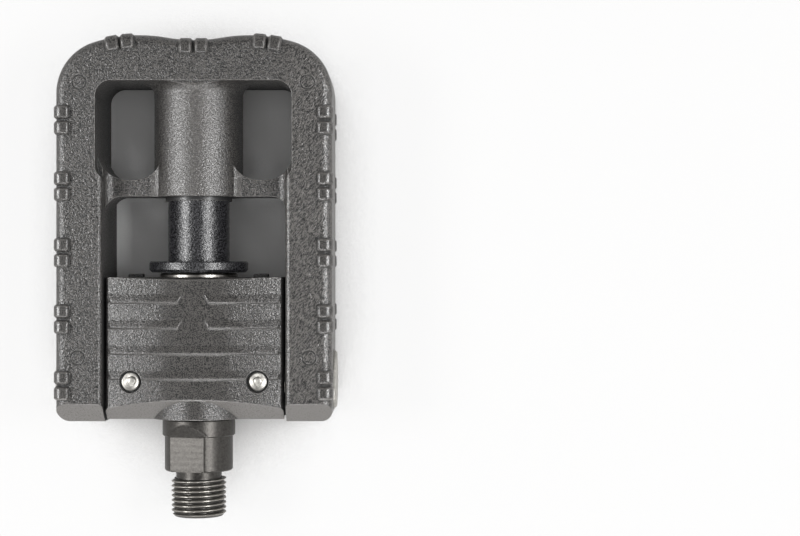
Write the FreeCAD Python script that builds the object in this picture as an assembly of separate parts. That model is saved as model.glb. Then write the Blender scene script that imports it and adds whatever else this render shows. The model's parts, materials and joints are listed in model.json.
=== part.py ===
import FreeCAD, Part
import math
import os

# Folding bicycle pedal, right-hand side, lying flat with its locked frame.
# Millimetres. The spindle's shoulder, which seats on the crank, is at y = 0 on the spindle's axis.
# +Y runs outward along the spindle, +X across the pedal and +Z out of its upper face.

# Shared clearances
running_fit = 0.05          # radial, between a shaft and what turns or slides on it
seat_fit = 0.02             # radial, between pieces that are pressed or screwed together
face_gap = 0.15             # axial, between flat faces that move past each other
cut_margin = 1.0            # how far a cut runs past what it cuts

# Spindle, crank end
thread_diameter = 14.2875
thread_reach = 12.0         # shoulder to tip
tip_chamfer = 0.9
neck_diameter = 11.9
neck_length = 2.1
wrench_collar_diameter = 17.8
wrench_collar_length = 9.1
round_collar_inset = 0.23    # its rim inside the seal's rim
round_collar_length = 4.5
flats_across = 15.0
flats_turn = -17.0          # degrees about the spindle, from the upper face
flats_runout_angle = 33.0   # degrees, slope at the outer end of each flat

# Bearings, two rows of balls in cups that face outward
ball_diameter = 3.969
ball_count = 10
ball_circle_diameter = 13.6
race_diameter = 14.0        # outside of both cones
inner_row_y = 19.0
outer_row_y = 39.4
cup_wall = 0.9
cup_floor = 1.2
cup_mouth = 2.2             # past the ball centres
cup_hole_diameter = 12.8
cone_nose = 0.9
cone_length = 4.2           # past the ball centres
axle_thread_diameter = 7.2
washer_diameter = 11.2
washer_thickness = 1.0
nut_across_flats = 11.0
nut_height = 4.0
axle_thread_past_nut = 0.6

# Seal at the crank end of the block
seal_length = 2.3
seal_recess = 0.3           # behind the block's end face

# Hinge block
block_start_y = 13.9
block_top_y = 50.6
block_half_width = 22.9
block_face_z = 13.1         # at the middle of the crowned face
block_side_drop = 2.4       # crown's fall at the side of the face
block_face_half_width = 21.4
block_edge_y = 50.0         # outer edge of the upper face
block_edge_bevel = 2.0
block_round_sweep = 50.0    # degrees, of the round along the sides of the face
block_bevel_y = 19.2        # where the end bevel starts at mid width
end_bevel_slope = 1.16      # fall per unit of length, on block and arms
boss_diameter = 25.8
axle_bore_diameter = 14.8
ridge_lines_y = (24.26, 30.75, 37.30, 43.85)
ridge_height = 0.5
ridge_run = 2.4
ridge_flat = 0.4
ridge_drop = 0.3
ridge_break_half_width = 3.95
ridge_break_taper = 1.2     # on each side, over a ridge's run
ridges_broken = 2           # the outer ones stop short of the middle
lug_x = 16.4
lug_width = 3.8
lug_height = 0.9
lug_root = 1.0              # part of a lug inside the block
lug_round = 0.3

# Hinge, along X
hinge_y = 23.8
pin_diameter = 7.0
pin_inner_x = 13.0
pin_head_diameter = 15.0
pin_head_height = 1.5
pin_head_chamfer = 0.4
pin_recess_depth = 0.8      # in the arm's outer side
pin_recess_gap = 0.3        # radial, round the pin's head
rivet_x = 16.3
rivet_diameter = 3.5
rivet_head_diameter = 5.0
rivet_head_rim = 0.6
rivet_head_height = 1.1
rivet_well_diameter = 5.8
rivet_well_floor_z = 10.4
thrust_washer_diameter = 13.0

# Pedal frame
frame_half_width = 35.5
frame_half_depth = 12.5
frame_start_y = 13.3
frame_edge_radius = 2.5
arm_end_radius = 3.0
arm_bevel_y = 18.1
arm_inner_x = 23.5          # beside the block
arm_inner_round = 1.3
window_half_width = 25.2
window_step_y = 75.2        # where the arms start to thin
window_step_length = 3.7
window_top_y = 101.1
window_corner_radius = 4.0
peak_x = 14.0
peak_y = 112.9
peak_dip = 1.25             # fall from the peaks to the middle of the outer edge
shoulder_radius = 40.0
shoulder_sweep = 17.0       # degrees
web_end_y = 75.9
web_half_depth = 6.0
web_fillet = 2.5            # against arms and sleeve
web_root = 0.3              # depth of the fillets' ends in arms and sleeve
bay_corner_radius = 4.2
window_web_radius = 7.1     # of the windows' corners at the web
sleeve_diameter = 23.2
sleeve_start_y = 71.6       # of the web too
sleeve_bore_diameter = 18.4
sleeve_bore_end_y = 107.0
sleeve_flare = 3.0
sleeve_bar_step = 0.4       # from the flare up to the face of the top bar
spring_peg_diameter = 8.8
spring_peg_length = 3.0
mark_diameter = 4.0         # ejector marks on the faces
mark_depth = 0.25
marks = ((29.2, 100.6), (29.6, 30.0))

# Grip nubs round the frame's edges
nub_length = 3.4
nub_reach = 4.0             # across the frame's edge
nub_proud = 0.3             # past the side of the frame
nub_rise = 1.2              # above its face
nub_drop = 3.4              # below its face, on the side
nub_outer_radius = 2.0
nub_inner_radius = 0.7
nub_end_chamfer = 0.45
side_pair_start_y = 22.9
side_pair_step = 17.0
side_pair_count = 5
pair_spacing = 4.05
end_pairs_x = (0.0, 19.1)

# Lock collar, bush and spring
collar_flange_diameter = 25.8
collar_flange_y = 51.85
collar_flange_thickness = 2.85
collar_flange_chamfer = 0.7
collar_tube_diameter = 16.0
collar_tube_end_y = 84.0
collar_bore_diameter = 12.6
collar_floor_y = 57.0
ring_groove_depth = 0.5
ring_thickness = 1.2
ring_wall_gap = 0.15        # radial, from the sleeve's bore
ring_mouth = 3.0
bush_lip_length = 1.1
bush_lip_diameter = 17.4
bush_length = 8.0           # inside the sleeve
ring_seat_gap = 0.3
spring_diameter = 11.6
spring_wire_diameter = 1.2
spring_turns = 8
spring_end_gap = 0.3

# Dust cap over the outer bearing, flat towards the upper face and round about the hinge below it
cap_diameter = 20.4
cap_wall = 0.8
cap_skirt_end_y = 46.2
cap_shoulder = 0.5

# Worked out from the sizes above
ball_radius = ball_diameter / 2
ball_circle = ball_circle_diameter / 2
race_groove = ball_radius + running_fit
shaft_radius = ball_circle - race_groove
cone_radius = race_diameter / 2
cup_radius = ball_circle + race_groove + cup_wall
round_collar_radius = cup_radius - round_collar_inset
collar_end_y = wrench_collar_length + round_collar_length
groove_rise = math.sqrt(race_groove ** 2 - (cone_radius - ball_circle) ** 2)
cup_floor_reach = groove_rise + cup_floor
axle_thread_radius = axle_thread_diameter / 2
washer_y = outer_row_y + cone_length
nut_y = washer_y + washer_thickness
axle_end_y = nut_y + nut_height + axle_thread_past_nut
cap_dome_radius = collar_flange_y - hinge_y - face_gap
block_sweep_radius = cap_dome_radius - face_gap
crown_radius = (block_face_half_width ** 2 + block_side_drop ** 2) / (2 * block_side_drop)
bush_end_y = sleeve_start_y + bush_length
ring_y = bush_end_y + ring_seat_gap

origin = FreeCAD.Vector(0, 0, 0)
x_axis = FreeCAD.Vector(1, 0, 0)
y_axis = FreeCAD.Vector(0, 1, 0)
z_axis = FreeCAD.Vector(0, 0, 1)


def plan(point):
    """A point of the X-Y plane; also radius and height of a turned profile."""
    return FreeCAD.Vector(point[0], point[1], 0)


def side(point):
    """A point of the Y-Z plane."""
    return FreeCAD.Vector(0, point[0], point[1])


def section(point):
    """A point of the X-Z plane."""
    return FreeCAD.Vector(point[0], 0, point[1])


def outline(place, start, *steps):
    """Closed face through start; a step is an end point, or a pair (via, end) for an arc."""
    edges = []
    here = start
    for step in steps + (start,):
        is_arc = isinstance(step[0], tuple)
        end = step[1] if is_arc else step
        if is_arc:
            edges.append(Part.Arc(place(here), place(step[0]), place(end)).toShape())
        elif end != here:
            edges.append(Part.makeLine(place(here), place(end)))
        here = end
    return Part.Face(Part.Wire(edges))


def turned(start, *steps):
    """Solid of revolution about the spindle's axis, from radius and height."""
    return outline(plan, start, *steps).revolve(origin, y_axis, 360)


def tube(outer_radius, inner_radius, start_y, end_y):
    """Plain ring on the spindle's axis."""
    return turned((inner_radius, start_y), (outer_radius, start_y),
                  (outer_radius, end_y), (inner_radius, end_y))


def rod_y(radius, start_y, end_y):
    """Round bar along the spindle's axis."""
    return Part.makeCylinder(radius, end_y - start_y, FreeCAD.Vector(0, start_y, 0), y_axis)


def rod_x(radius, start_x, end_x):
    """Round bar along the hinge's axis."""
    return Part.makeCylinder(radius, end_x - start_x, FreeCAD.Vector(start_x, hinge_y, 0), x_axis)


def across(face, half_width):
    """Prism of a Y-Z face, both ways along X."""
    prism = face.extrude(x_axis * (2 * half_width))
    prism.translate(x_axis * -half_width)
    return prism


def through(face, half_depth):
    """Prism of an X-Y face, both ways along Z."""
    prism = face.extrude(z_axis * (2 * half_depth))
    prism.translate(z_axis * -half_depth)
    return prism


def mirrored(shape, normal):
    """Copy on the other side of the middle plane with this normal."""
    return shape.mirror(origin, normal)


def both_sides(shape):
    """The shape and its copies over X and Z."""
    over_x = [shape, mirrored(shape, x_axis)]
    return over_x + [mirrored(item, z_axis) for item in over_x]


def on_arc(centre, radius, degrees):
    """Point of a circle; 0 degrees is along the first axis."""
    turn = math.radians(degrees)
    return (centre[0] + radius * math.cos(turn), centre[1] + radius * math.sin(turn))


def dome_via(edge, apex):
    """Middle of the arc from a dome's edge to its apex on the axis, in radius and height."""
    rise = apex[1] - edge[1]
    radius = (edge[0] ** 2 + rise ** 2) / (2 * rise)
    centre = (0, apex[1] - radius)
    edge_angle = math.degrees(math.atan2(edge[1] - centre[1], edge[0]))
    return on_arc(centre, radius, (edge_angle + 90) / 2)


def save(name, shape):
    """Write one sub-part."""
    shape.exportStep("parts/" + name + ".step")
    print(name, len(shape.Solids), round(shape.Volume, 2), shape.isValid())


def make_spindle():
    """Forged and turned spindle with its inner race and wrench flats."""
    thread_radius = thread_diameter / 2
    inner_race = (ball_circle, inner_row_y)
    body = turned(
        (0, -thread_reach),
        (thread_radius - tip_chamfer, -thread_reach),
        (thread_radius, tip_chamfer - thread_reach),
        (thread_radius, -neck_length),
        (neck_diameter / 2, -neck_length),
        (neck_diameter / 2, 0),
        (wrench_collar_diameter / 2, 0),
        (wrench_collar_diameter / 2, wrench_collar_length),
        (round_collar_radius, wrench_collar_length),
        (round_collar_radius, collar_end_y),
        (cone_radius, collar_end_y),
        (cone_radius, inner_row_y - groove_rise),
        (on_arc(inner_race, race_groove, 225), (shaft_radius, inner_row_y)),
        (shaft_radius, outer_row_y - cone_nose),
        (axle_thread_radius, outer_row_y - cone_nose),
        (axle_thread_radius, axle_end_y),
        (0, axle_end_y),
    )
    flat = flats_across / 2
    high = 2 * round_collar_radius
    runout = (high - flat) / math.tan(math.radians(flats_runout_angle))
    cutter = across(outline(side, (0, flat), (wrench_collar_length, flat),
                            (wrench_collar_length + runout, high), (0, high)), high)
    cutter.rotate(origin, y_axis, flats_turn)
    other = cutter.copy()
    other.rotate(origin, y_axis, 180)
    return body.cut(Part.makeCompound([cutter, other]))


def make_balls(row_y):
    """One row of bearing balls."""
    balls = []
    for index in range(ball_count):
        turn = 2 * math.pi * index / ball_count
        centre = FreeCAD.Vector(ball_circle * math.cos(turn), row_y, ball_circle * math.sin(turn))
        balls.append(Part.makeSphere(ball_radius, centre))
    return Part.makeCompound(balls)


def make_cup(row_y, outward):
    """Bearing cup; outward is the way its mouth faces, -1 towards the crank."""
    race = (ball_circle, row_y)
    groove_lip = row_y - outward * groove_rise
    floor = row_y - outward * cup_floor_reach
    return turned(
        (cup_radius, row_y + outward * cup_mouth),
        (cup_radius, floor),
        (cup_hole_diameter / 2, floor),
        (cup_hole_diameter / 2, groove_lip),
        (cone_radius, groove_lip),
        (on_arc(race, race_groove, -45 * outward), (ball_circle + race_groove, row_y)),
        (ball_circle + race_groove, row_y + outward * cup_mouth),
    )


def make_outer_cone():
    """Adjusting cone screwed on the outer end of the spindle."""
    bore = axle_thread_radius + seat_fit
    race = (ball_circle, outer_row_y)
    return turned(
        (bore, outer_row_y - cone_nose),
        (shaft_radius, outer_row_y - cone_nose),
        (shaft_radius, outer_row_y),
        (on_arc(race, race_groove, 135), (cone_radius, outer_row_y + groove_rise)),
        (cone_radius, washer_y),
        (bore, washer_y),
    )


def make_lock_nut():
    """Hexagon nut that holds the outer cone."""
    corner = nut_across_flats / math.sqrt(3)
    corners = [on_arc((0, 0), corner, 60 * index) for index in range(6)]
    nut = outline(section, *corners).extrude(y_axis * nut_height)
    nut.translate(y_axis * nut_y)
    return nut.cut(rod_y(axle_thread_radius + seat_fit, nut_y, nut_y + nut_height))


def make_spindle_seal():
    """Rubber ring that closes the block round the spindle."""
    start_y = block_start_y + seal_recess
    return tube(cup_radius - seat_fit, cone_radius + running_fit, start_y, start_y + seal_length)


def crowned_half():
    """Upper half of the block: crowned face with its cross ridges, about an axis along Y."""
    axis_at = FreeCAD.Vector(0, 0, block_face_z - crown_radius)
    reach = 2 * math.degrees(math.asin((block_half_width + cut_margin) / crown_radius))

    def swept(face):
        face.rotate(axis_at, y_axis, -reach / 2)
        return face.revolve(axis_at, y_axis, reach)

    plain = swept(outline(side, (block_start_y, 0), (block_top_y, 0),
                          (block_top_y, block_face_z), (block_start_y, block_face_z)))
    root_z = block_face_z - ridge_height
    crest_z = block_face_z + ridge_height
    narrow = ridge_break_half_width - ridge_break_taper
    wide = ridge_break_half_width + ridge_break_taper
    gap = outline(plan, (-wide, -ridge_run), (wide, -ridge_run), (narrow, ridge_run), (-narrow, ridge_run))
    gap = through(gap, 2 * ridge_height)
    ridges = []
    for index, line_y in enumerate(ridge_lines_y):
        crest_y = line_y + ridge_drop
        ridge = swept(outline(side, (line_y, root_z), (line_y, block_face_z), (crest_y, crest_z),
                              (crest_y + ridge_flat, crest_z), (line_y + ridge_run, block_face_z),
                              (line_y + ridge_run, root_z)))
        if index >= len(ridge_lines_y) - ridges_broken:
            opening = gap.copy()
            opening.translate(FreeCAD.Vector(0, line_y, block_face_z))
            ridge = ridge.cut(opening)
        ridges.append(ridge)
    return plain.fuse(ridges)


def block_profile():
    """Side view of the block; the rear outer edge follows a circle about the hinge."""
    high = block_face_z + 2 * ridge_height
    start_z = block_face_z - end_bevel_slope * (block_bevel_y - block_start_y)
    bevel_end_y = block_bevel_y + (high - block_face_z) / end_bevel_slope
    arc_start_z = math.sqrt(block_sweep_radius ** 2 - (block_top_y - hinge_y) ** 2)
    arc_end_y = hinge_y + math.sqrt(block_sweep_radius ** 2 - high ** 2)
    middle = math.degrees(math.atan2(-(arc_start_z + high), arc_end_y + block_top_y - 2 * hinge_y))
    return outline(
        side,
        (block_start_y, start_z),
        (bevel_end_y, high),
        (block_edge_y, high),
        (block_edge_y, block_face_z),
        (block_top_y, block_face_z - block_edge_bevel),
        (block_top_y, -arc_start_z),
        (on_arc((hinge_y, 0), block_sweep_radius, middle), (arc_end_y, -high)),
        (bevel_end_y, -high),
        (block_start_y, -start_z),
    )


def block_section():
    """Cross section that trims the block's long edges."""
    high = block_face_z + 2 * ridge_height
    side_z = block_face_z - block_side_drop
    corner = block_half_width - block_face_half_width
    shoulder_z = side_z - corner
    bend = on_arc((block_face_half_width, shoulder_z), corner, block_round_sweep / 2)
    end = on_arc((block_face_half_width, shoulder_z), corner, block_round_sweep)
    top_x = end[0] - (high - end[1]) * math.tan(math.radians(block_round_sweep))
    return outline(
        section,
        (block_half_width, shoulder_z), (bend, end), (top_x, high),
        (-top_x, high), (-end[0], end[1]),
        ((-bend[0], bend[1]), (-block_half_width, shoulder_z)),
        (-block_half_width, -shoulder_z),
        ((-bend[0], -bend[1]), (-end[0], -end[1])),
        (-top_x, -high), (top_x, -high), (end[0], -end[1]),
        ((bend[0], -bend[1]), (block_half_width, -shoulder_z)),
    )


def make_hinge_block():
    """Moulded block that turns on the spindle and carries the hinge."""
    upper = crowned_half()
    body = upper.fuse(mirrored(upper, z_axis))
    body = body.common(across(block_profile(), 2 * block_half_width))
    trim = block_section().extrude(y_axis * 2 * block_top_y)
    body = body.common(trim)
    body = body.fuse(rod_y(boss_diameter / 2, block_start_y, block_bevel_y))
    lug = Part.makeBox(lug_width, lug_height + lug_root, lug_width)
    lug.translate(FreeCAD.Vector(lug_x - lug_width / 2, block_top_y - lug_root, -lug_width / 2))
    lug = lug.makeFillet(lug_round, [edge for edge in lug.Edges if edge.BoundBox.YMin > block_top_y])
    body = body.fuse([lug, mirrored(lug, x_axis)])
    inner_floor = inner_row_y + cup_floor_reach
    outer_floor = outer_row_y - cup_floor_reach
    cuts = [
        rod_y(axle_bore_diameter / 2, block_start_y, block_top_y),
        rod_y(cup_radius, block_start_y, inner_floor),
        rod_y(cup_radius, outer_floor, block_top_y),
        rod_y(cap_diameter / 2, cap_skirt_end_y, block_top_y),
        rod_x(pin_diameter / 2 + seat_fit, pin_inner_x, block_half_width),
        rod_x(pin_diameter / 2 + seat_fit, -block_half_width, -pin_inner_x),
    ]
    high = block_face_z + 2 * ridge_height
    for sign in (1, -1):
        foot = FreeCAD.Vector(sign * rivet_x, hinge_y, -high)
        cuts.append(Part.makeCylinder(rivet_diameter / 2 + seat_fit, 2 * high, foot, z_axis))
        for level in (rivet_well_floor_z, -high):
            foot = FreeCAD.Vector(sign * rivet_x, hinge_y, level)
            depth = high - rivet_well_floor_z
            cuts.append(Part.makeCylinder(rivet_well_diameter / 2, depth, foot, z_axis))
    return body.cut(cuts).removeSplitter()


def cap_solid(radius, reach, start_y):
    """Round plug that stays within reach of the hinge on the side the frame folds to."""
    top_y = hinge_y + reach
    sweep = math.degrees(math.asin((radius + cut_margin) / reach))
    middle = on_arc((hinge_y, 0), reach, -sweep / 2)
    end = on_arc((hinge_y, 0), reach, -sweep)
    limit = outline(side, (start_y, -end[1]), (top_y, -end[1]), (top_y, 0), (middle, end), (start_y, end[1]))
    plug = turned((0, start_y), (radius, start_y), (radius, top_y - cap_shoulder),
                  (radius - cap_shoulder, top_y), (0, top_y))
    return plug.common(across(limit, radius + cut_margin))


def make_dust_cap():
    """Pressed cap over the outer bearing, close under the collar's flange."""
    rim = cap_diameter / 2 - seat_fit
    outer = cap_solid(rim, cap_dome_radius, cap_skirt_end_y)
    inner = cap_solid(rim - cap_wall, cap_dome_radius - cap_wall, cap_skirt_end_y - cut_margin)
    return outer.cut(inner)


def make_hinge_pin(sign):
    """Pin with a flat disc head in the arm's side, cross-drilled in the block for its rivet."""
    head_x = frame_half_width - pin_recess_depth + face_gap
    end_x = head_x + pin_head_height
    head = rod_x(pin_head_diameter / 2, head_x, end_x)
    rim = [edge for edge in head.Edges if edge.BoundBox.XMin > end_x - pin_head_height / 2]
    pin = rod_x(pin_diameter / 2, pin_inner_x, head_x).fuse(head.makeChamfer(pin_head_chamfer, rim))
    hole = Part.makeCylinder(rivet_diameter / 2 + seat_fit, 2 * pin_diameter,
                             FreeCAD.Vector(rivet_x, hinge_y, -pin_diameter), z_axis)
    pin = pin.cut(hole).removeSplitter()
    return pin if sign > 0 else mirrored(pin, x_axis)


def make_rivet(sign):
    """Rivet through block and hinge pin, with a domed head at each face."""
    shank = rivet_diameter / 2
    head = rivet_head_diameter / 2
    floor = rivet_well_floor_z
    edge = (head, floor + rivet_head_rim)
    apex = (0, floor + rivet_head_height)
    via = dome_via(edge, apex)

    def below(point):
        return (point[0], -point[1])

    rivet = turned(below(apex), (below(via), below(edge)), (head, -floor), (shank, -floor),
                   (shank, floor), (head, floor), edge, (via, apex))
    rivet.rotate(origin, x_axis, 90)
    rivet.translate(FreeCAD.Vector(sign * rivet_x, hinge_y, 0))
    return rivet


def make_thrust_washer(sign):
    """Washer on the hinge pin, between block and arm."""
    start_x = block_half_width + face_gap
    end_x = arm_inner_x
    washer = rod_x(thrust_washer_diameter / 2, start_x, end_x)
    washer = washer.cut(rod_x(pin_diameter / 2 + running_fit, start_x, end_x))
    return washer if sign > 0 else mirrored(washer, x_axis)


def frame_outline():
    """Outer edge of the frame in plan: straight sides, round shoulders, dipped outer edge."""
    sweep = math.radians(shoulder_sweep)
    shoulder_centre = (peak_x, peak_y - shoulder_radius)
    corner_radius = frame_half_width - peak_x - shoulder_radius * math.sin(sweep)
    corner_radius /= 1 - math.sin(sweep)
    corner_centre = on_arc(shoulder_centre, shoulder_radius - corner_radius, 90 - shoulder_sweep)
    shoulder_end = on_arc(shoulder_centre, shoulder_radius, 90 - shoulder_sweep)
    shoulder_via = on_arc(shoulder_centre, shoulder_radius, 90 - shoulder_sweep / 2)
    corner_via = on_arc(corner_centre, corner_radius, 45 - shoulder_sweep / 2)
    half_run = peak_x / 2
    half_dip = peak_dip / 2
    dip_radius = (half_run ** 2 + half_dip ** 2) / (2 * half_dip)
    lean = math.degrees(math.asin(half_run / dip_radius)) / 2
    convex_via = on_arc((peak_x, peak_y - dip_radius), dip_radius, 90 + lean)
    middle_y = peak_y - peak_dip
    inflection = (half_run, peak_y - half_dip)
    end_x = frame_half_width - arm_end_radius
    end_y = frame_start_y + arm_end_radius
    end_via = on_arc((end_x, end_y), arm_end_radius, -45)

    def left(point):
        return (-point[0], point[1])

    return outline(
        plan,
        (-end_x, frame_start_y),
        (end_x, frame_start_y),
        (end_via, (frame_half_width, end_y)),
        (frame_half_width, corner_centre[1]),
        (corner_via, shoulder_end),
        (shoulder_via, (peak_x, peak_y)),
        (convex_via, inflection),
        ((0, middle_y), left(inflection)),
        (left(convex_via), (-peak_x, peak_y)),
        (left(shoulder_via), left(shoulder_end)),
        (left(corner_via), (-frame_half_width, corner_centre[1])),
        (-frame_half_width, end_y),
        (left(end_via), (-end_x, frame_start_y)),
    )


def frame_opening():
    """Plan of everything between the arms, below the top bar."""
    step_end_y = window_step_y + window_step_length
    corner = (window_half_width - window_corner_radius, window_top_y - window_corner_radius)
    via = on_arc(corner, window_corner_radius, 45)
    low = frame_start_y - cut_margin
    return outline(
        plan,
        (-arm_inner_x, low),
        (arm_inner_x, low),
        (arm_inner_x, window_step_y),
        *s_bend((arm_inner_x, window_step_y), (window_half_width, step_end_y)),
        (window_half_width, corner[1]),
        (via, (corner[0], window_top_y)),
        (-corner[0], window_top_y),
        ((-via[0], via[1]), (-window_half_width, corner[1])),
        (-window_half_width, step_end_y),
        *s_bend((-window_half_width, step_end_y), (-arm_inner_x, window_step_y)),
    )


def arm_round():
    """Bar that rounds the inner upper edge of one arm."""
    edge_z = frame_half_depth - arm_inner_round
    flat_x = arm_inner_x + arm_inner_round
    via = on_arc((flat_x, edge_z), arm_inner_round, 135)
    face = outline(section, (arm_inner_x, edge_z), (via, (flat_x, frame_half_depth)),
                   (flat_x, frame_half_depth + cut_margin),
                   (arm_inner_x - cut_margin, frame_half_depth + cut_margin),
                   (arm_inner_x - cut_margin, edge_z))
    return face.extrude(y_axis * (window_step_y + window_step_length))


def s_bend(start, end):
    """Two arcs from start to end that leave and arrive along the second axis."""
    half_run = (end[0] - start[0]) / 2
    half_rise = (end[1] - start[1]) / 2
    radius = (half_run ** 2 + half_rise ** 2) / (2 * half_run)
    turn = math.asin(half_rise / radius) / 2
    via = (start[0] + radius * (1 - math.cos(turn)), start[1] + radius * math.sin(turn))
    middle = (start[0] + half_run, start[1] + half_rise)
    other_via = (start[0] + end[0] - via[0], start[1] + end[1] - via[1])
    return (via, middle), (other_via, end)


def rounded_plan(low_x, high_x, low_y, high_y, radius):
    """Rectangle in plan with round corners."""
    bend = radius * (1 - math.sqrt(0.5))
    return outline(
        plan,
        (low_x + radius, low_y),
        (high_x - radius, low_y),
        ((high_x - bend, low_y + bend), (high_x, low_y + radius)),
        (high_x, high_y - radius),
        ((high_x - bend, high_y - bend), (high_x - radius, high_y)),
        (low_x + radius, high_y),
        ((low_x + bend, high_y - bend), (low_x, high_y - radius)),
        (low_x, low_y + radius),
        ((low_x + bend, low_y + bend), (low_x + radius, low_y)),
    )


def make_web():
    """Cross web between sleeve and arms, filleted to both, with round corners in plan."""
    sleeve = sleeve_diameter / 2 - web_root
    arm_x = arm_inner_x + web_root
    fillet_z = web_half_depth + web_fillet
    fillet_x = math.sqrt((sleeve + web_fillet) ** 2 - fillet_z ** 2)
    touch_angle = math.degrees(math.atan2(fillet_z, fillet_x))
    touch = on_arc((0, 0), sleeve, touch_angle)
    sleeve_via = on_arc((fillet_x, fillet_z), web_fillet, (touch_angle + 90) / 2 + 180)
    arm_start_x = arm_x - web_fillet
    arm_via = on_arc((arm_start_x, fillet_z), web_fillet, -45)
    inner_x = touch[0] - cut_margin
    root_x = window_half_width + cut_margin

    def below(point):
        return (point[0], -point[1])

    face = outline(
        section,
        (inner_x, touch[1]),
        touch,
        (sleeve_via, (fillet_x, web_half_depth)),
        (arm_start_x, web_half_depth),
        (arm_via, (arm_x, fillet_z)),
        (root_x, fillet_z),
        (root_x, -fillet_z),
        (arm_x, -fillet_z),
        (below(arm_via), (arm_start_x, -web_half_depth)),
        (fillet_x, -web_half_depth),
        (below(sleeve_via), below(touch)),
        (inner_x, -touch[1]),
    )
    low_y = sleeve_start_y - bay_corner_radius
    plate = face.extrude(y_axis * (web_end_y + window_web_radius - low_y))
    plate.translate(y_axis * low_y)
    window = through(rounded_plan(touch[0], window_half_width, web_end_y, window_top_y,
                                  window_web_radius), frame_half_depth)
    bay = through(rounded_plan(-arm_inner_x, arm_inner_x, hinge_y, sleeve_start_y,
                               bay_corner_radius), frame_half_depth)
    plate = plate.cut([window, bay])
    return [plate, mirrored(plate, x_axis)]


def make_sleeve():
    """Outside of the sleeve, flared where it runs into the top bar."""
    radius = sleeve_diameter / 2
    flare_y = window_top_y - sleeve_flare
    via = on_arc((radius + sleeve_flare, flare_y), sleeve_flare, 135)
    body = turned((0, sleeve_start_y), (radius, sleeve_start_y), (radius, flare_y),
                  (via, (radius + sleeve_flare, window_top_y)), (0, window_top_y))
    half_depth = frame_half_depth - sleeve_bar_step
    slab = Part.makeBox(4 * radius, window_top_y, 2 * half_depth)
    slab.translate(FreeCAD.Vector(-2 * radius, 0, -half_depth))
    return body.common(slab)


def make_nub(edge, facing):
    """Flat-topped block over the frame's edge; facing is its outward direction in plan, in degrees."""
    inner = nub_proud - nub_reach
    top = frame_half_depth + nub_rise
    low = frame_half_depth - nub_drop
    outer_bend = on_arc((nub_proud - nub_outer_radius, top - nub_outer_radius), nub_outer_radius, 45)
    inner_bend = on_arc((inner + nub_inner_radius, top - nub_inner_radius), nub_inner_radius, 135)
    face = outline(
        section,
        (inner, low),
        (-nub_proud, low),
        (nub_proud, low + 2 * nub_proud),
        (nub_proud, top - nub_outer_radius),
        (outer_bend, (nub_proud - nub_outer_radius, top)),
        (inner + nub_inner_radius, top),
        (inner_bend, (inner, top - nub_inner_radius)),
    )
    nub = face.extrude(y_axis * nub_length)
    ends = [rim for rim in nub.Edges
            if rim.BoundBox.YLength < 1e-6 and rim.BoundBox.ZMax > low + 3 * nub_proud]
    nub = nub.makeChamfer(nub_end_chamfer, ends)
    nub.translate(y_axis * (-nub_length / 2))
    nub.rotate(origin, z_axis, facing)
    nub.translate(plan(edge))
    return nub


def make_nubs():
    """Pairs of nubs along both sides and the outer edge, on both faces."""
    nubs = []
    for pair in range(side_pair_count):
        for offset in (-pair_spacing / 2, pair_spacing / 2):
            y = side_pair_start_y + pair * side_pair_step + offset
            nubs += both_sides(make_nub((frame_half_width, y), 0))
    for pair_x in end_pairs_x:
        for offset in (-pair_spacing / 2, pair_spacing / 2):
            x = pair_x + offset
            if x < 0:
                continue
            facing = 90
            edge = (x, peak_y - peak_dip)
            if x > peak_x:
                facing -= math.degrees(math.asin((x - peak_x) / shoulder_radius))
                edge = on_arc((peak_x, peak_y - shoulder_radius), shoulder_radius, facing)
            nubs += both_sides(make_nub(edge, facing))
    return nubs


def arm_bevel():
    """Wedge that slopes the upper corner of the arms' ends."""
    high = frame_half_depth + nub_rise + cut_margin
    low_y = frame_start_y - cut_margin
    low_z = frame_half_depth - end_bevel_slope * (arm_bevel_y - low_y)
    high_y = arm_bevel_y + (high - frame_half_depth) / end_bevel_slope
    return across(outline(side, (low_y, low_z), (high_y, high), (low_y, high)),
                  2 * frame_half_width)


def make_pedal_frame():
    """One-piece moulded frame: arms, top bar, web and sleeve."""
    body = through(frame_outline(), frame_half_depth)
    rims = [edge for edge in body.Edges
            if edge.BoundBox.ZLength < 1e-6]
    body = body.makeFillet(frame_edge_radius, rims)
    wedge = arm_bevel()
    opening = through(frame_opening(), 2 * frame_half_depth)
    body = body.cut([opening, wedge, mirrored(wedge, z_axis)] + both_sides(arm_round()))
    body = body.fuse([make_sleeve()] + make_web() + make_nubs())
    recess = rod_x(pin_head_diameter / 2 + pin_recess_gap, frame_half_width - pin_recess_depth,
                   frame_half_width + cut_margin)
    pin_hole = rod_x(pin_diameter / 2 + running_fit, arm_inner_x, frame_half_width)
    bore = rod_y(sleeve_bore_diameter / 2, sleeve_start_y, sleeve_bore_end_y)
    peg = rod_y(spring_peg_diameter / 2, sleeve_bore_end_y - spring_peg_length, sleeve_bore_end_y)
    cuts = [bore.cut(peg), recess, mirrored(recess, x_axis), pin_hole, mirrored(pin_hole, x_axis)]
    for x, y in marks:
        foot = FreeCAD.Vector(x, y, frame_half_depth - mark_depth)
        cuts += both_sides(Part.makeCylinder(mark_diameter / 2, cut_margin, foot, z_axis))
    return body.cut(cuts).removeSplitter()


def make_guide_bush():
    """Bush that guides the collar's tube in the sleeve's mouth."""
    bore = collar_tube_diameter / 2 + running_fit
    lip = bush_lip_diameter / 2
    body = sleeve_bore_diameter / 2 - seat_fit
    return turned((bore, sleeve_start_y - bush_lip_length), (lip, sleeve_start_y - bush_lip_length),
                  (lip, sleeve_start_y), (body, sleeve_start_y), (body, bush_end_y),
                  (bore, bush_end_y))


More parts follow.
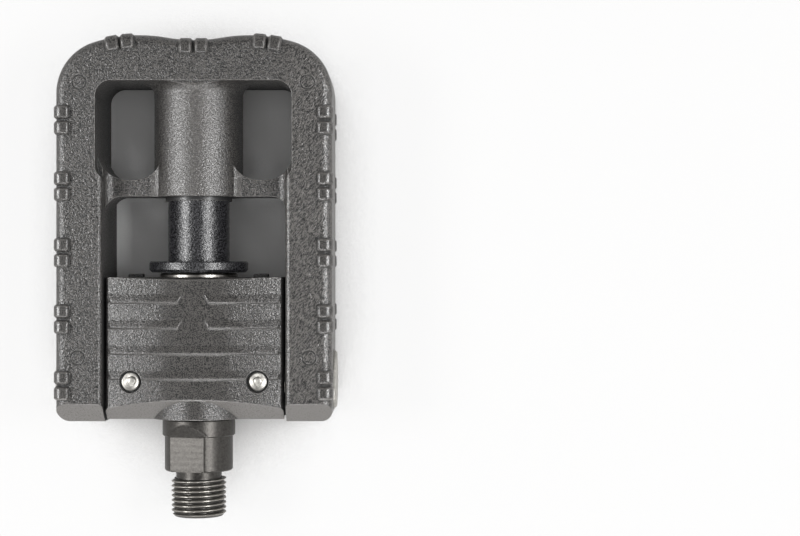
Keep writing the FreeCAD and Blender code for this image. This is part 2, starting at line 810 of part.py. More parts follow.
def make_lock_collar():
    """Flanged tube that is pulled outward to free the fold."""
    flange = collar_flange_diameter / 2
    tube_radius = collar_tube_diameter / 2
    bore = collar_bore_diameter / 2
    top_y = collar_flange_y + collar_flange_thickness
    groove = tube_radius - ring_groove_depth
    chamfer = collar_flange_chamfer
    return turned(
        (0, collar_flange_y),
        (flange - chamfer, collar_flange_y),
        (flange, collar_flange_y + chamfer),
        (flange, top_y - chamfer / 2),
        (flange - chamfer / 2, top_y),
        (tube_radius, top_y),
        (tube_radius, ring_y - seat_fit),
        (groove, ring_y - seat_fit),
        (groove, ring_y + ring_thickness + seat_fit),
        (tube_radius, ring_y + ring_thickness + seat_fit),
        (tube_radius, collar_tube_end_y),
        (bore, collar_tube_end_y),
        (bore, collar_floor_y),
        (0, collar_floor_y),
    )


def make_retaining_ring():
    """Split ring on the tube that stops it at the guide bush."""
    inner = collar_tube_diameter / 2 - ring_groove_depth + seat_fit
    outer = sleeve_bore_diameter / 2 - ring_wall_gap
    ring = tube(outer, inner, ring_y, ring_y + ring_thickness)
    mouth = Part.makeBox(ring_mouth, ring_thickness, outer)
    mouth.translate(FreeCAD.Vector(-ring_mouth / 2, ring_y, 0))
    return ring.cut(mouth)


def make_lock_spring():
    """Compression spring between the collar's floor and the end of the sleeve's bore."""
    wire = spring_wire_diameter / 2
    radius = spring_diameter / 2 - wire
    start_y = collar_floor_y + spring_end_gap + wire
    end_y = sleeve_bore_end_y - spring_end_gap - wire
    height = end_y - start_y
    pitch = height / spring_turns
    turns = []
    for index in range(spring_turns):
        turn = Part.makeHelix(pitch, pitch, radius)
        turn.translate(z_axis * (pitch * index))
        turns += turn.Edges
    ring = Part.Wire(Part.makeCircle(wire, x_axis * radius, y_axis))
    spring = Part.Wire(turns).makePipeShell([ring], True, True)
    spring.rotate(origin, x_axis, -90)
    spring.translate(y_axis * start_y)
    return spring


os.makedirs("parts", exist_ok=True)
save("spindle", make_spindle())
save("inner_balls", make_balls(inner_row_y))
save("outer_balls", make_balls(outer_row_y))
save("outer_cone", make_outer_cone())
save("lock_washer", tube(washer_diameter / 2, axle_thread_radius + seat_fit, washer_y, nut_y))
save("lock_nut", make_lock_nut())
save("hinge_block", make_hinge_block())
save("inner_cup", make_cup(inner_row_y, -1))
save("outer_cup", make_cup(outer_row_y, 1))
save("spindle_seal", make_spindle_seal())
save("dust_cap", make_dust_cap())
for end, side_sign in (("left", -1), ("right", 1)):
    save("hinge_pin_" + end, make_hinge_pin(side_sign))
    save("pin_rivet_" + end, make_rivet(side_sign))
    save("thrust_washer_" + end, make_thrust_washer(side_sign))
save("pedal_frame", make_pedal_frame())
save("guide_bush", make_guide_bush())
save("lock_collar", make_lock_collar())
save("retaining_ring", make_retaining_ring())
save("lock_spring", make_lock_spring())
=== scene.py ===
import json
import math
import bpy
import numpy as np
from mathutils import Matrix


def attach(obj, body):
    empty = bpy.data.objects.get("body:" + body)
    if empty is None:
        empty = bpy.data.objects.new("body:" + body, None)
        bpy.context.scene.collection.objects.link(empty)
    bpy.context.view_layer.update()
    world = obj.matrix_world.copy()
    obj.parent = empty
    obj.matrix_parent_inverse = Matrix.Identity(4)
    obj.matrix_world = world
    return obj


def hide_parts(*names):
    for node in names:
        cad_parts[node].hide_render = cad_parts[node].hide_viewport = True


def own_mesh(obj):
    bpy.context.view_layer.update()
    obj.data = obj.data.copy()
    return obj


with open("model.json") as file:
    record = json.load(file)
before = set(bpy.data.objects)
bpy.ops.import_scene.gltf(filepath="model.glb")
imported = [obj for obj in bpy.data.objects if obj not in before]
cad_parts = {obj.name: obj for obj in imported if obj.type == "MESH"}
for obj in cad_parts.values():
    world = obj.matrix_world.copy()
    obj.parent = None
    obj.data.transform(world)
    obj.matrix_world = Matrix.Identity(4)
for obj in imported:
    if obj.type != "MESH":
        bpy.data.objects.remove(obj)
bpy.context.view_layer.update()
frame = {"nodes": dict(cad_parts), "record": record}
nodes = frame["nodes"]
mm = 0.001  # sizes below are in millimetres, the scene is in metres
print("frame loaded:", len(nodes), "nodes")


def linearColour(hexText):  # sRGB hex to linear: straight below the toe, a 2.4 power above it
    srgb = np.array([int(hexText[at:at + 2], 16) for at in (1, 3, 5)]) / 255
    linear = np.where(srgb <= 0.04045, srgb / 12.92, ((srgb + 0.055) / 1.055) ** 2.4)
    return (*linear.tolist(), 1.0)


def addNode(tree, kind, values={}, links={}, **settings):  # one node, its socket values and what feeds it
    node = tree.nodes.new("ShaderNode" + kind)
    for name, value in settings.items():
        setattr(node, name, value)
    for socket, value in values.items():
        node.inputs[socket].default_value = value
    for socket, source in links.items():
        tree.links.new(source, node.inputs[socket])
    return node


def newLook(name, **values):  # empty material with its principled shader's fixed sockets set
    look = bpy.data.materials.new(name)
    look.use_nodes = True
    shader = look.node_tree.nodes["Principled BSDF"]
    for socket, value in values.items():
        shader.inputs[socket].default_value = value
    return look, look.node_tree, shader


def perMm(size):  # texture scale that gives features of this size in millimetres
    return 1 / (size * mm)


def rampEnds(numbers):  # ends of a straight ramp, held past them: what is read, then what comes out if not 0 and 1
    return dict(zip(("From Min", "From Max", "To Min", "To Max"), numbers))


# glass-filled nylon, moulded in a spark-eroded tool: near black, its pale speckle partly fibre tone and partly painted
# glints, rubbed pale on its edges with a painted highlight there, a painted sheen on the sleeve top and end bevels,
# painted shade in hollows and creases
nylonValues = {
    # the darkest tint is painted shade for hollows and creases, the mid tint a painted sheen, the palest tint wear with
    # a painted highlight on edges
    "dark": "#0a0909", "pale": "#686562", "rubbedAndHighlight": "#b8b4af", "paintedShade": "#060606", "paintedSheen": "#74716e",
    "grainSize": 0.28, "pitSize": 0.7, "scuffSize": 0.22,  # real grain is finer, drawn as coarse as the render shows
    "grainDepth": 0.13, "gloss": 1.63, "hollowReach": 20, "creaseReach": 0.6, "hollowDull": 0.45, "rays": 6,
    "scuffTurn": -35, "scuffStretch": 5,  # slanting scuffs, on one arm
    "sleeveWidth": 11.7, "sleeveStart": 71, "sleeveEnd": 100.5,  # where the sleeve lies
    # ramps that make a mask from a place, a slope or how open a spot lies
    "offNub": (12.9 * mm, 12.55 * mm), "endFacing": (-0.35, -0.7), "endPlace": (21.5 * mm, 20 * mm),
    "scuffPlace": (21 * mm, 26 * mm, 0, 0.6), "sleeveTop": (0.55, 0.95, 0, 0.35),
    "hollowShade": (0.65, 0.35, 0, 0.9), "creaseShade": (0.92, 0.6, 0, 0.85), "edgeRubAndHighlight": (0.99, 0.85, 0, 0.4),
    # ramps that turn grain or a mask into a look
    "speckle": (0.43, 0.6), "roughness": (0.3, 0.7, 0.38, 0.24), "edgeRadius": (0, 1, 0.8 * mm, 0.35 * mm),
    "scuffPale": (0, 1, 0, 0.25), "sleeveDull": (0, 1, 0, 0.03),
    "nubGrain": (0, 1, 0.25), "sleeveGrain": (0, 1, 1, 0.9), "endGrain": (0, 1, 1, 0.4),  # smoother places
}


# grain, turning to scuffs across X, drives colour, gloss and bump; masks calm it by place and tint it with painted
# shade in hollows and creases, a painted sheen on the sleeve top and end bevels, and pale rubbed edges that are also a
# painted highlight
def mouldedNylon(name, values):
    look, tree, shader = newLook(name, IOR=values["gloss"])
    coords = addNode(tree, "TexCoord").outputs
    place = coords["Object"]
    axes = addNode(tree, "SeparateXYZ", links={"Vector": place}).outputs
    facing = addNode(tree, "SeparateXYZ", links={"Vector": coords["Normal"]}).outputs
    slant = addNode(tree, "Mapping", {"Rotation": (0, 0, math.radians(values["scuffTurn"])),
                                      "Scale": (1, values["scuffStretch"], 1)},
                    {"Vector": place}, vector_type="TEXTURE").outputs["Vector"]
    noises = {}
    for size, detail, spot in (("grainSize", 1.0, place), ("pitSize", 1.0, place), ("scuffSize", 2.0, slant)):
        noises[size] = addNode(tree, "TexNoise", {"Scale": perMm(values[size]), "Detail": detail},
                               {"Vector": spot}).outputs["Fac"]
    aside, above, flatness = (addNode(tree, "Math", links={0: part}, operation="ABSOLUTE").outputs["Value"]
                              for part in (axes["X"], axes["Z"], facing["Z"]))
    # occlusion rays: how open a spot lies, which sets the painted shade in hollows and creases
    wide, near = (addNode(tree, "AmbientOcclusion", {"Distance": values[reach] * mm},
                          samples=values["rays"]).outputs["AO"] for reach in ("hollowReach", "creaseReach"))

    masks = {}
    for mask, source in (("offNub", above), ("endFacing", facing["Y"]), ("endPlace", axes["Y"]),
                         ("scuffPlace", axes["X"]), ("sleeveTop", flatness), ("hollowShade", wide), ("creaseShade", near)):
        masks[mask] = addNode(tree, "MapRange", rampEnds(values[mask]), {"Value": source}).outputs["Result"]
    for mask, source, test in (("sleeveWidth", aside, "LESS_THAN"), ("sleeveStart", axes["Y"], "GREATER_THAN"),
                               ("sleeveEnd", axes["Y"], "LESS_THAN")):
        masks[mask] = addNode(tree, "Math", {1: values[mask] * mm}, {0: source}, operation=test).outputs["Value"]
    # sloped marks the end bevels that face the front lamp; they get a painted sheen as well as calmer grain
    for mask, first, second in (("sloped", "endFacing", "endPlace"), ("worn", "offNub", "scuffPlace"),
                                ("sleeveLength", "sleeveStart", "sleeveEnd"),
                                ("onSleeve", "sleeveWidth", "sleeveLength")):
        masks[mask] = addNode(tree, "Math", links={0: masks[first], 1: masks[second]},
                              operation="MULTIPLY").outputs["Value"]
    masks["relief"] = addNode(tree, "MapRange", links={"Value": masks["worn"], "To Min": noises["grainSize"],
                                                       "To Max": noises["scuffSize"]}).outputs["Result"]
    for mask, source in (("edgeRadius", "offNub"), ("speckle", "relief"), ("roughness", "relief"),
                         ("scuffPale", "worn"), ("sleeveDull", "onSleeve"), ("nubGrain", "offNub"),
                         ("sleeveGrain", "onSleeve"), ("endGrain", "sloped")):
        masks[mask] = addNode(tree, "MapRange", rampEnds(values[mask]), {"Value": masks[source]}).outputs["Result"]
    # faces turned up on the sleeve get a painted sheen
    for mask, first, second in (("scuffed", "scuffPale", "speckle"), ("sleeveTopSheen", "onSleeve", "sleeveTop"),
                                ("placeGrain", "sleeveGrain", "endGrain"), ("calmed", "nubGrain", "placeGrain")):
        masks[mask] = addNode(tree, "Math", links={0: masks[first], 1: masks[second]},
                              operation="MULTIPLY").outputs["Value"]
    # edge mask: edges rubbed pale, partly wear and partly a painted highlight
    edge = addNode(tree, "Bevel", links={"Radius": masks["edgeRadius"]}, samples=values["rays"]).outputs["Normal"]
    plain = addNode(tree, "NewGeometry").outputs["Normal"]
    agree = addNode(tree, "VectorMath", links={0: edge, 1: plain}, operation="DOT_PRODUCT").outputs["Value"]
    masks["edgeRubAndHighlight"] = addNode(tree, "MapRange", rampEnds(values["edgeRubAndHighlight"]), {"Value": agree}).outputs["Result"]

    # the pale speckle is partly the fibres' own tone and partly painted glints of the grain
    colour = addNode(tree, "MixRGB", {"Color1": linearColour(values["dark"]), "Color2": linearColour(values["pale"])},
                     {"Fac": masks["speckle"]}).outputs["Color"]
    # scuffs are wear; edges get wear and a painted highlight; sleeve top and end bevels a painted sheen; hollows and
    # creases painted shade
    for mask, tint in (("scuffed", "rubbedAndHighlight"), ("sleeveTopSheen", "paintedSheen"), ("sloped", "paintedSheen"), ("edgeRubAndHighlight", "rubbedAndHighlight"),
                       ("hollowShade", "paintedShade"), ("creaseShade", "paintedShade")):  # each tint laid over the last by its mask
        colour = addNode(tree, "MixRGB", {"Color2": linearColour(values[tint])},
                         {"Fac": masks[mask], "Color1": colour}).outputs["Color"]
    tree.links.new(colour, shader.inputs["Base Color"])
    satin = addNode(tree, "Math", links={0: masks["roughness"], 1: masks["sleeveDull"]},
                    operation="ADD").outputs["Value"]
    dulled = addNode(tree, "Math", {1: values["hollowDull"]}, {0: masks["hollowShade"], 2: satin},
                     operation="MULTIPLY_ADD")
    tree.links.new(dulled.outputs["Value"], shader.inputs["Roughness"])
    height = addNode(tree, "Math", links={0: noises["pitSize"], 1: masks["relief"]}, operation="ADD").outputs["Value"]
    bump = addNode(tree, "Bump", {"Distance": values["grainDepth"] * mm},
                   {"Strength": masks["calmed"], "Height": height, "Normal": edge})
    tree.links.new(bump.outputs["Normal"], shader.inputs["Normal"])
    return look


# smooth nylon is an even dark grey with a soft shine, seal rubber is as dark and dull
smoothNylonValues = dict(nylonValues, dark="#2b2b2c", pale="#3d3d3e", paintedSheen="#3a3a3a", grainDepth=0.01, gloss=1.5)
rubberValues = dict(nylonValues, dark="#232323", pale="#323232", paintedSheen="#2d2d2d", grainDepth=0.015,
                    roughness=(0.3, 0.7, 0.75, 0.6), gloss=1.5)

# forged steel, black oxide: dark and faintly oily, with turning marks, and the crests of the thread rubbed bright,
# partly wear and partly a painted highlight
oxideValues = {
    "dark": "#312f2d", "pale": "#555350", "rubbedAndHighlight": "#9c9993", "blotchSize": 0.6, "patches": (0.3, 0.7),
    "lineSize": 0.25, "waveRate": 20,  # a wave texture turns 20 radians per unit, and a line is one radian
    "relief": 0.012, "reliefShare": 0.6, "roughness": (0, 1, 0.32, 0.48),
    "threadEnd": -2.1, "crest": (6.5 * mm, 7.12 * mm),  # radius of root and crest
}


# blotch noise for colour and roughness, rings along Y for turning marks, radius for crests that are rubbed bright with
# a painted highlight
def blackOxide(name, values):
    look, tree, shader = newLook(name, Metallic=0.85)
    place = addNode(tree, "TexCoord").outputs["Object"]
    blotch = addNode(tree, "TexNoise", {"Scale": perMm(values["blotchSize"]), "Detail": 6.0, "Roughness": 0.75},
                     {"Vector": place}).outputs["Fac"]
    patchy = addNode(tree, "MapRange", rampEnds(values["patches"]), {"Value": blotch}).outputs["Result"]
    base = addNode(tree, "MixRGB", {"Color1": linearColour(values["dark"]), "Color2": linearColour(values["pale"])},
                   {"Fac": patchy}).outputs["Color"]
    flat = addNode(tree, "VectorMath", {1: (1, 0, 1)}, {0: place}, operation="MULTIPLY").outputs["Vector"]
    radius = addNode(tree, "VectorMath", links={0: flat}, operation="LENGTH").outputs["Value"]
    crest = addNode(tree, "MapRange", rampEnds(values["crest"]), {"Value": radius}).outputs["Result"]
    along = addNode(tree, "SeparateXYZ", links={"Vector": place}).outputs["Y"]
    threaded = addNode(tree, "Math", {1: values["threadEnd"] * mm}, {0: along},
                       operation="LESS_THAN").outputs["Value"]
    # crests of the thread lighter than the roots: wear and a painted highlight
    rubbedAndHighlight = addNode(tree, "Math", links={0: crest, 1: threaded}, operation="MULTIPLY").outputs["Value"]
    shiny = addNode(tree, "MixRGB", {"Color2": linearColour(values["rubbedAndHighlight"])}, {"Fac": rubbedAndHighlight, "Color1": base})
    tree.links.new(shiny.outputs["Color"], shader.inputs["Base Color"])
    rough = addNode(tree, "MapRange", rampEnds(values["roughness"]), {"Value": blotch})
    tree.links.new(rough.outputs["Result"], shader.inputs["Roughness"])
    lineScale = perMm(values["lineSize"]) / values["waveRate"]
    rings = addNode(tree, "TexWave", {"Scale": lineScale, "Distortion": 1.5, "Detail": 2.0},
                    {"Vector": place}, bands_direction="Y").outputs["Fac"]
    height = addNode(tree, "Math", links={0: rings, 1: patchy}, operation="ADD").outputs["Value"]
    bump = addNode(tree, "Bump", {"Strength": values["reliefShare"], "Distance": values["relief"] * mm},
                   {"Height": height})
    tree.links.new(bump.outputs["Normal"], shader.inputs["Normal"])
    return look


# gloss black paint on steel: near black, with bright highlights broken up by a coarse orange peel
paintValues = {
    "dark": "#131315", "pale": "#47474b", "peelSize": 1.1, "peelDepth": 0.14,
    "speckSize": 0.4, "specks": (0.4, 0.68), "speckShare": 0.5,  # share of the specks in the peel's height
    "roughness": (0, 1, 0.2, 0.5), "rimRadius": 8.6, "rimDull": 0.02,
}


def glossPaint(name, values):  # peel noise bends the highlights, speck noise dulls them in spots
    look, tree, shader = newLook(name, **{"IOR": 1.5, "Coat Weight": 0.15, "Coat Roughness": 0.15})
    place = addNode(tree, "TexCoord").outputs["Object"]
    peel = addNode(tree, "TexNoise", {"Scale": perMm(values["peelSize"]), "Detail": 4.0, "Roughness": 0.65},
                   {"Vector": place}).outputs["Fac"]
    specks = addNode(tree, "TexNoise", {"Scale": perMm(values["speckSize"]), "Detail": 2.0},
                     {"Vector": place}).outputs["Fac"]
    spotted = addNode(tree, "MapRange", rampEnds(values["specks"]), {"Value": specks}).outputs["Result"]
    base = addNode(tree, "MixRGB", {"Color1": linearColour(values["dark"]), "Color2": linearColour(values["pale"])},
                   {"Fac": spotted})
    tree.links.new(base.outputs["Color"], shader.inputs["Base Color"])
    rough = addNode(tree, "MapRange", rampEnds(values["roughness"]), {"Value": spotted}).outputs["Result"]
    flat = addNode(tree, "VectorMath", {1: (1, 0, 1)}, {0: place}, operation="MULTIPLY").outputs["Vector"]
    radius = addNode(tree, "VectorMath", links={0: flat}, operation="LENGTH").outputs["Value"]
    onRim = addNode(tree, "Math", {1: values["rimRadius"] * mm}, {0: radius},
                    operation="GREATER_THAN").outputs["Value"]
    dulled = addNode(tree, "Math", {1: values["rimDull"]}, {0: onRim, 2: rough}, operation="MULTIPLY_ADD")
    tree.links.new(dulled.outputs["Value"], shader.inputs["Roughness"])
    height = addNode(tree, "Math", {1: values["speckShare"]}, {0: specks, 2: peel},
                     operation="MULTIPLY_ADD").outputs["Value"]
    bump = addNode(tree, "Bump", {"Strength": 1.0, "Distance": values["peelDepth"] * mm}, {"Height": height})
    for socket in ("Normal", "Coat Normal"):
        tree.links.new(bump.outputs["Normal"], shader.inputs[socket])
    return look


# bare, plated and ground steels: bright, with fine blotches
zincValues = {"dark": "#96948f", "pale": "#bebcb7", "blotchSize": 0.9, "roughness": (0, 1, 0.36, 0.6), "relief": 0.05}
capValues = {"dark": "#77746f", "pale": "#a5a29e", "blotchSize": 1.3, "roughness": (0, 1, 0.25, 0.4), "relief": 0.02}
bearingValues = {"dark": "#8c8c8d", "pale": "#c4c4c5", "blotchSize": 2.0, "roughness": (0, 1, 0.14, 0.3),
                 "relief": 0.01}


def plainSteel(name, values):  # blotch noise for colour, roughness and bump
    look, tree, shader = newLook(name, Metallic=1.0)
    place = addNode(tree, "TexCoord").outputs["Object"]
    blotch = addNode(tree, "TexNoise", {"Scale": perMm(values["blotchSize"]), "Detail": 5.0, "Roughness": 0.6},
                     {"Vector": place}).outputs["Fac"]
    patchy = addNode(tree, "MapRange", {"From Min": 0.32, "From Max": 0.66}, {"Value": blotch}).outputs["Result"]
    base = addNode(tree, "MixRGB", {"Color1": linearColour(values["dark"]), "Color2": linearColour(values["pale"])},
                   {"Fac": patchy})
    tree.links.new(base.outputs["Color"], shader.inputs["Base Color"])
    rough = addNode(tree, "MapRange", rampEnds(values["roughness"]), {"Value": blotch})
    tree.links.new(rough.outputs["Result"], shader.inputs["Roughness"])
    bump = addNode(tree, "Bump", {"Distance": values["relief"] * mm}, {"Height": blotch})
    tree.links.new(bump.outputs["Normal"], shader.inputs["Normal"])
    return look


looks = {
    "black_nylon": mouldedNylon("glassFilledNylon", nylonValues),
    "bush_nylon": mouldedNylon("smoothNylon", smoothNylonValues),
    "seal_rubber": mouldedNylon("sealRubber", rubberValues),
    "black_steel": blackOxide("blackOxideSteel", oxideValues),
    "black_paint": glossPaint("glossBlackPaint", paintValues),
    "pin_steel": plainSteel("zincPlatedSteel", zincValues),
    "cap_steel": plainSteel("brightPressedSteel", capValues),
    "bearing_steel": plainSteel("groundBearingSteel", bearingValues),
}
for part in frame["record"]["subparts"]:
    mesh = nodes[part["node"]].data
    mesh.materials.clear()
    mesh.materials.append(looks[part["material_slot"]])

sharpAngle = 30  # degrees; an edge that turns more than this stays crisp


def ringSkin(name, rings, look):  # rings of points joined by quads, each end closed by a fan to the ring's middle
    count, around = rings.shape[:2]
    here = np.arange(count * around).reshape(count, around)
    there = np.roll(here, -1, axis=1)
    quads = np.stack([here[:-1], there[:-1], there[1:], here[1:]], axis=-1).reshape(-1, 4)
    firstMiddle, lastMiddle = count * around, count * around + 1
    firstFan = np.stack([there[0], here[0], np.full(around, firstMiddle)], axis=-1)
    lastFan = np.stack([here[-1], there[-1], np.full(around, lastMiddle)], axis=-1)
    points = np.concatenate([rings.reshape(-1, 3), rings[:1].mean(axis=1), rings[-1:].mean(axis=1)])
    mesh = bpy.data.meshes.new(name)
    mesh.from_pydata((points * mm).tolist(), [], quads.tolist() + firstFan.tolist() + lastFan.tolist())
    mesh.materials.append(look)
    mesh.shade_smooth()
    mesh.set_sharp_from_angle(angle=math.radians(sharpAngle))
    mesh.update()
    piece = bpy.data.objects.new(name, mesh)
    bpy.context.scene.collection.objects.link(piece)
    return piece


# spindle with its rolled crank thread, in place of the plain solid
spindleValues = {
    "profile": [(6.24, -12.0), (7.14, -11.1), (7.14, -2.1), (5.95, -2.1), (5.95, 0.0), (8.55, 0.0), (8.9, 0.35),
                (8.9, 9.1), (9.2, 9.1), (9.5, 9.4), (9.5, 13.3), (9.2, 13.6), (7.0, 13.6), (7.0, 17.0), (4.77, 19.0),
                (4.77, 38.5), (3.6, 38.5), (3.6, 49.2)],  # radius and place along Y
    "pitch": 1.27, "threadDepth": 0.74, "crestShare": 0.16, "threadEnd": -2.1, "threadCorner": 3,
    "flatDistance": 7.5, "flatTurn": -17, "flatEnd": 9.1, "runoutAngle": 33,
    "fineStep": 0.09, "coarseStep": 0.4, "around": 240,  # rings lie close up to the thread's corner of the profile
}


def spindleRings(values):  # radius over angle and length: the least of turned profile, thread wave and wrench flats
    corners = np.array(values["profile"])
    along = np.concatenate([[0], np.cumsum(np.linalg.norm(np.diff(corners, axis=0), axis=1))])
    threadStop = along[values["threadCorner"]]
    fine = np.arange(0, threadStop, values["fineStep"])
    coarse = np.arange(threadStop, along[-1], values["coarseStep"])
    at = np.unique(np.concatenate([along, fine, coarse]))
    radius = np.interp(at, along, corners[:, 0])[:, None]
    y = np.interp(at, along, corners[:, 1])[:, None]
    turn = np.linspace(0, 2 * np.pi, values["around"], endpoint=False)[None, :]  # from Z towards X
    phase = y / values["pitch"] - turn / (2 * np.pi)
    wave = 2 * np.abs(phase - np.round(phase))  # 0 on a crest, 1 in a root
    groove = np.clip((wave - values["crestShare"]) / (1 - 2 * values["crestShare"]), 0, 1)
    threadRadius = corners[1, 0] - values["threadDepth"] * groove
    radius = np.where(y <= values["threadEnd"], np.minimum(radius, threadRadius), radius + 0 * turn)
    slope = math.tan(math.radians(values["runoutAngle"]))
    flat = values["flatDistance"] + slope * np.maximum(0, y - values["flatEnd"])
    lean = np.abs(np.cos(turn - math.radians(values["flatTurn"])))
    radius = np.minimum(radius, flat / np.maximum(lean, 0.01))  # never divided by nothing
    return np.stack([radius * np.sin(turn), y + 0 * turn, radius * np.cos(turn)], axis=-1)


threadedSpindle = ringSkin("threadedSpindle", spindleRings(spindleValues), looks["black_steel"])
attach(threadedSpindle, "spindle")
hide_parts("spindle")
print("spindle:", len(threadedSpindle.data.polygons), "faces")

# rivets with peened heads, dished round a small nib, in place of the plain solids
rivetValues = {
    "half": [(1.75, 0.0), (1.75, 10.4), (2.4, 10.4), (2.42, 10.6), (2.28, 10.8), (2.0, 10.88), (1.6, 10.74),
             (1.25, 10.58), (1.1, 10.66), (0.95, 10.86), (0.6, 11.0), (0.1, 11.04)],  # radius and height, from mid-shank up
    "rivets": {"left": (-16.3, 0.4, 0.3), "right": (16.3, 0.1, 0.15)},  # place along X, and the nib's way off centre
    "hingeY": 23.8, "nibRadius": 1.6, "nibSlope": 1.5, "step": 0.08, "around": 72,
}


def rivetRings(values, middleX, nibX, nibY):  # turned profile about Z, mirrored below, its nib drawn aside
    corners = np.array(values["half"])
    corners = np.concatenate([corners[::-1] * (1, -1), corners[1:]])
    along = np.concatenate([[0], np.cumsum(np.linalg.norm(np.diff(corners, axis=0), axis=1))])
    at = np.unique(np.concatenate([along, np.arange(0, along[-1], values["step"])]))
    radius = np.interp(at, along, corners[:, 0])[:, None]
    z = np.interp(at, along, corners[:, 1])[:, None]
    turn = np.linspace(0, 2 * np.pi, values["around"], endpoint=False)[None, :]
    aside = np.clip(values["nibSlope"] * (1 - radius / values["nibRadius"]), 0, 1)
    x = middleX + nibX * aside + radius * np.cos(turn)
    y = values["hingeY"] + nibY * aside + radius * np.sin(turn)
    return np.stack([x, y, z + 0 * turn], axis=-1)


for end, shift in rivetValues["rivets"].items():
    peenedRivet = ringSkin("peenedRivet_" + end, rivetRings(rivetValues, *shift), looks["pin_steel"])
    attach(peenedRivet, "block")
    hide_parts("pin_rivet_" + end)
print("rivets:", len(peenedRivet.data.polygons), "faces each")

# ejector marks: a low disc inside each shallow recess of the frame's faces, with a groove left round it
markValues = {
    "profile": [(1.62, 12.2), (1.62, 12.38), (1.54, 12.46), (0.1, 12.46)],  # radius and height
    "places": {"outerLeft": (-29.2, 100.6), "outerRight": (29.2, 100.6),
               "innerLeft": (-29.6, 30.0), "innerRight": (29.6, 30.0)},  # along X and Y
    "faces": {"upper": 1, "lower": -1}, "around": 48,
}


def markRings(values, middleX, middleY, side):  # turned profile about Z, turned half round X for the lower face
    radius, z = np.array(values["profile"]).T[:, :, None]
    turn = np.linspace(0, 2 * np.pi, values["around"], endpoint=False)[None, :]
    x = middleX + radius * np.cos(turn)
    y = middleY + side * radius * np.sin(turn)
    return np.stack([x, y, side * z + 0 * turn], axis=-1)


for faceName, side in markValues["faces"].items():
    for corner, place in markValues["places"].items():
        markName = "ejectorMark_" + faceName + "_" + corner
        ejectorMark = ringSkin(markName, markRings(markValues, *place, side), looks["black_nylon"])
        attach(ejectorMark, "frame")
print("ejector marks:", len(ejectorMark.data.polygons), "faces each")

# lock spring, drawn at one length
springValues = {"from": 57.9, "to": 106.1, "radius": 5.2, "wire": 0.6, "turns": 8, "stepsPerTurn": 36, "around": 12,
                "restLength": 49.4, "pull": 12.0}


def springRings(values):  # circle of the wire carried along a helix on the spindle's axis
    turn = np.linspace(0, 2 * np.pi * values["turns"], values["turns"] * values["stepsPerTurn"])[:, None]
    radial = np.concatenate([np.cos(turn), 0 * turn, np.sin(turn)], axis=1)
    rise = (values["to"] - values["from"]) / (2 * np.pi * values["turns"])
    middle = values["radius"] * radial
    middle[:, 1] = values["from"] + rise * turn[:, 0]
    tangent = np.concatenate([-values["radius"] * np.sin(turn), rise + 0 * turn,
                              values["radius"] * np.cos(turn)], axis=1)
    tangent /= np.linalg.norm(tangent, axis=1, keepdims=True)
    normal = np.cross(tangent, radial)
    around = np.linspace(0, 2 * np.pi, values["around"], endpoint=False)[None, :, None]
    return middle[:, None] + values["wire"] * (np.cos(around) * radial[:, None] + np.sin(around) * normal[:, None])


coilSpring = ringSkin("coilSpring", springRings(springValues), looks["bearing_steel"])
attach(coilSpring, "frame")
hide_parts("lock_spring")
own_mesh(coilSpring)
print("spring:", len(coilSpring.data.polygons), "faces")

# pale studio floor under a white sky, with three soft boxes round the part
studioValues = {
    "floorLevel": -13.7, "floorSize": 1500, "floorColour": "#f7f6f5", "shadeColour": "#f3f2f1", "fleckSize": 60,
    "whiteShare": 0.82, "shadeReach": 25, "shadeOpen": (0.42, 0.7),  # clear to the camera where little stands over it
    "horizon": 0.5, "zenith": 0.45,  # strength of the sky low down and overhead
    "mirrorHorizon": 0.9, "mirrorZenith": 0.28,  # the same, in reflections
    "skyBand": (0.1, 0.7),  # rise over which the sky goes from one to the other
    "fill": 0.38,  # share of a box's power that lights matt surfaces, so that colours show as they are written
    "fillDistance": 620, "glintDistance": 600, "boxSize": (260, 150), "middle": (5, 60, 0),
    "boxes": {"leftSoftBox": (180, 47, 3.2), "rightSoftBox": (0, 41, 3.2),
              "frontSoftBox": (-90, 60, 2.0)},  # turn, tilt, power
}


# matt, faintly cloudy paper, clear to the camera by how open it lies, so that the white sky shows
def paleSheet(name, values):
    look, tree, shader = newLook(name, Roughness=0.9)
    place = addNode(tree, "TexCoord").outputs["Object"]
    cloud = addNode(tree, "TexNoise", {"Scale": perMm(values["fleckSize"]), "Detail": 2.0},
                    {"Vector": place}).outputs["Fac"]
    base = addNode(tree, "MixRGB", {"Color1": linearColour(values["floorColour"]),
                                    "Color2": linearColour(values["shadeColour"])}, {"Fac": cloud})
    tree.links.new(base.outputs["Color"], shader.inputs["Base Color"])
    openness = addNode(tree, "AmbientOcclusion", {"Distance": values["shadeReach"] * mm}, samples=8).outputs["AO"]
    share = addNode(tree, "MapRange", rampEnds((*values["shadeOpen"], 0, values["whiteShare"])), {"Value": openness})
    path = addNode(tree, "LightPath").outputs
    seen = addNode(tree, "Math", links={0: share.outputs["Result"], 1: path["Is Camera Ray"]}, operation="MULTIPLY")
    clear = addNode(tree, "BsdfTransparent").outputs["BSDF"]
    mixed = addNode(tree, "MixShader", links={0: seen.outputs["Value"], 1: shader.outputs["BSDF"], 2: clear})
    tree.links.new(mixed.outputs["Shader"], tree.nodes["Material Output"].inputs["Surface"])
    return look


half = studioValues["floorSize"] / 2
across = np.array([[-half, -half], [half, -half], [half, half], [-half, half]])
corners = np.concatenate([across, np.full((4, 1), studioValues["floorLevel"])], axis=1) * mm
floorMesh = bpy.data.meshes.new("studioFloor")
floorMesh.from_pydata(corners.tolist(), [], [(0, 1, 2, 3)])
floorMesh.materials.append(paleSheet("paleFloorSheet", studioValues))
studioFloor = bpy.data.objects.new("studioFloor", floorMesh)
bpy.context.scene.collection.objects.link(studioFloor)

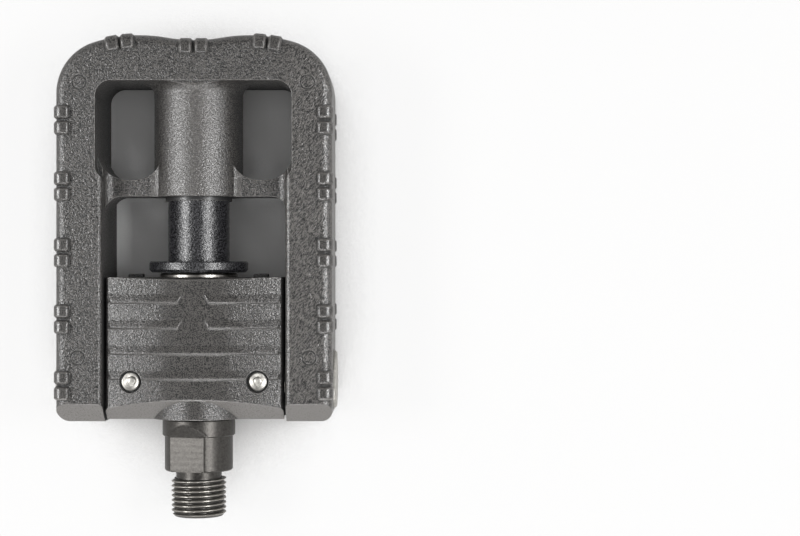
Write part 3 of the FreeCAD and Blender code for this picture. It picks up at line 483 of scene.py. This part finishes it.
# white sky to the camera; it lights at about half of that, and gloss shows it pale low down and dark overhead
world = bpy.data.worlds.new("whiteStudio")
bpy.context.scene.world = world
world.use_nodes = True
tree = world.node_tree
tree.nodes.clear()
path = addNode(tree, "LightPath").outputs
direction = addNode(tree, "TexCoord").outputs["Generated"]
rise = addNode(tree, "SeparateXYZ", links={"Vector": direction}).outputs["Z"]
skies = {}
for low, high in (("horizon", "zenith"), ("mirrorHorizon", "mirrorZenith")):
    ends = rampEnds((*studioValues["skyBand"], studioValues[low], studioValues[high]))
    skies[low] = addNode(tree, "MapRange", ends, {"Value": rise}, interpolation_type="SMOOTHSTEP").outputs["Result"]
level = addNode(tree, "MapRange", links={"Value": path["Is Glossy Ray"], "To Min": skies["horizon"],
                                         "To Max": skies["mirrorHorizon"]}).outputs["Result"]
seen = addNode(tree, "Math", links={0: path["Is Camera Ray"], 1: path["Is Transmission Ray"]},
               operation="MAXIMUM").outputs["Value"]
strength = addNode(tree, "MapRange", {"To Max": 1.0}, {"Value": seen, "To Min": level}).outputs["Result"]
sky = addNode(tree, "Background", {"Color": (1, 1, 1, 1)}, {"Strength": strength}).outputs["Background"]
addNode(tree, "OutputWorld", links={"Surface": sky})


def softBox(name, turn, tilt, power, distance, values):  # lamp facing the part: turn from X about Z, tilt from overhead
    lamp = bpy.data.lights.new(name, "AREA")
    lamp.shape = "RECTANGLE"
    lamp.energy = power
    lamp.size, lamp.size_y = values["boxSize"][0] * mm, values["boxSize"][1] * mm
    holder = bpy.data.objects.new(name, lamp)
    turn, tilt = math.radians(turn), math.radians(tilt)
    reach = np.array([math.cos(turn) * math.sin(tilt), math.sin(turn) * math.sin(tilt), math.cos(tilt)])
    holder.location = (np.array(values["middle"]) + distance * reach) * mm
    holder.rotation_euler = (tilt, 0, turn + math.pi / 2)
    bpy.context.scene.collection.objects.link(holder)
    return holder


# each box is a pair of lamps: one lights matt surfaces, the other shows only in gloss, as bright highlights
for boxName, (turn, tilt, power) in studioValues["boxes"].items():
    fillBox = softBox(boxName, turn, tilt, power * studioValues["fill"], studioValues["fillDistance"], studioValues)
    fillBox.visible_glossy = False
    glintBox = softBox(boxName + "Glint", turn, tilt, power, studioValues["glintDistance"], studioValues)
    glintBox.visible_diffuse = False

# straight above, framed as in the photograph: image centre, height and focal length in pixels of the 800 wide picture
cameraValues = {"centre": (52.9, 53.0), "height": 450, "focalPixels": 1710, "pictureWidth": 800,
                "sensorWidth": 36, "nearest": 10}
lens = bpy.data.cameras.new("overheadCamera")
lens.sensor_width = cameraValues["sensorWidth"]
lens.lens = lens.sensor_width * cameraValues["focalPixels"] / cameraValues["pictureWidth"]
lens.clip_start = cameraValues["nearest"] * mm
overhead = bpy.data.objects.new("overheadCamera", lens)
overhead.location = np.array([*cameraValues["centre"], cameraValues["height"]]) * mm
bpy.context.scene.collection.objects.link(overhead)
bpy.context.scene.camera = overhead
bpy.context.scene.view_settings.view_transform = "Standard"
print("camera and lights placed")
